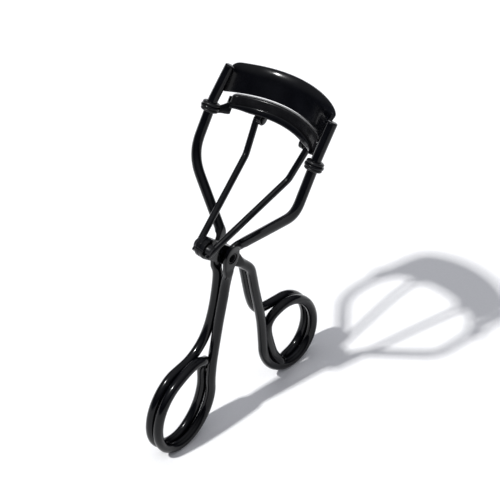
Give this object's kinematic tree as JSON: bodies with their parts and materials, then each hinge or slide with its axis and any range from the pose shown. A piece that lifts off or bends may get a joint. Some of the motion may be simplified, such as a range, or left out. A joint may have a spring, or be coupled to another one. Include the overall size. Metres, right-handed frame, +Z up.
{
  "type": "eyelash curler",
  "caption": "Wire-frame eyelash curler: curved upper plate, padded lower jaw sliding on two guide rods, link rods, pivoting squeeze handle and oval finger loops",
  "frame": {"origin": "on the ground plane, under the middle of the overall box", "axes": "+X is along the pivot axis and X = 0 is the mirror plane, +Y points from the frame's finger loop to the movable handle's loop, +Z is up with the curler standing on both loops"},
  "size_m": [0.0422, 0.0638, 0.0986],
  "materials": {
    "lacquer": "smooth gloss black lacquer on steel",
    "pad": "satin black silicone",
    "pin_metal": "dark blackened steel, slightly duller than the lacquer",
    "bush": "black nylon"
  },
  "bodies": {
    "frame": {"frame_wire": "lacquer", "upper_plate": "lacquer", "pivot_rivet": "pin_metal"},
    "handle": {"handle_wire": "lacquer"},
    "links": {"swivel_barrel": "pin_metal", "link_rod_left": "lacquer", "link_rod_right": "lacquer"},
    "jaw": {"lower_jaw": "lacquer", "lash_pad": "pad", "guide_bush_left": "bush", "guide_bush_right": "bush"}
  },
  "joints": [
    {"name": "handle_hinge", "type": "hinge", "parent": "frame", "child": "handle", "pos_m": [0, -0.00312, 0.0565], "axis": [-1, 0, 0], "range_deg": [-32, 2.1]},
    {"name": "jaw_slide", "type": "slide", "parent": "frame", "child": "jaw", "axis": [0, 0.5075, 0.8616], "range_m": [-0.0053, 0.00035]},
    {"name": "link_swivel", "type": "hinge", "parent": "handle", "child": "links", "pos_m": [0, -0.01012, 0.063], "axis": [-1, 0, 0], "range_deg": [-2.2, 32.2]}
  ],
  "couplings": [
    {"joint": "jaw_slide", "follows": "handle_hinge", "m_per_rad": 0.00936},
    {"joint": "link_swivel", "follows": "handle_hinge", "ratio": -0.999}
  ]
}
